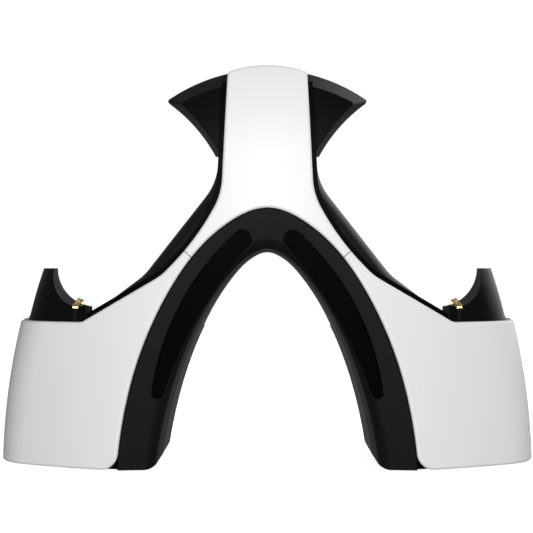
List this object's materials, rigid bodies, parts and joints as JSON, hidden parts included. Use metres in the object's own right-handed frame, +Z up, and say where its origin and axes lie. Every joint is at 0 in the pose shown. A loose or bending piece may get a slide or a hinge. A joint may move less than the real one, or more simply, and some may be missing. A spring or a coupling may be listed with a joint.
{
  "type": "controller charging dock",
  "caption": "Arched charging dock with a saddle on each pod that holds and charges a hand controller, and a winged headset rest behind its white front column.",
  "frame": {"origin": "on the floor under the middle of the dock's bounding box", "axes": "+X to the right seen from the front, along the dock's width; +Y to the back; +Z up"},
  "size_m": [0.2796, 0.09, 0.2026],
  "materials": {
    "white_cover": "smooth white, soft gloss",
    "black_frame": "black, satin",
    "black_trim": "black, fine satin",
    "black_housing": "black, satin",
    "black_rest": "black, satin",
    "black_cradle": "black, satin",
    "black_base": "black, matt",
    "smoked_window": "smoked, gloss",
    "contact_gold": "gold plated",
    "foot_rubber": "matt rubber",
    "circuit_board": "green lacquer",
    "port_steel": "bright metal",
    "screw_steel": "dark steel"
  },
  "bodies": {
    "root": {"arch_trim": "black_trim", "base_screws": "screw_steel", "column_cover": "white_cover", "front_frame": "black_frame", "headset_rest": "black_rest", "housing_screws": "screw_steel", "left_base_plate": "black_base", "left_charging_board": "circuit_board", "left_contact_1": "contact_gold", "left_contact_2": "contact_gold", "left_contact_3": "contact_gold", "left_cradle": "black_cradle", "left_front_foot": "foot_rubber", "left_light_board": "circuit_board", "left_light_window": "smoked_window", "left_pod_cover": "white_cover", "left_rear_foot": "foot_rubber", "main_board": "circuit_board", "rear_housing": "black_housing", "right_base_plate": "black_base", "right_charging_board": "circuit_board", "right_contact_1": "contact_gold", "right_contact_2": "contact_gold", "right_contact_3": "contact_gold", "right_cradle": "black_cradle", "right_front_foot": "foot_rubber", "right_light_board": "circuit_board", "right_light_window": "smoked_window", "right_pod_cover": "white_cover", "right_rear_foot": "foot_rubber", "usb_c_socket": "port_steel"}
  },
  "joints": []
}
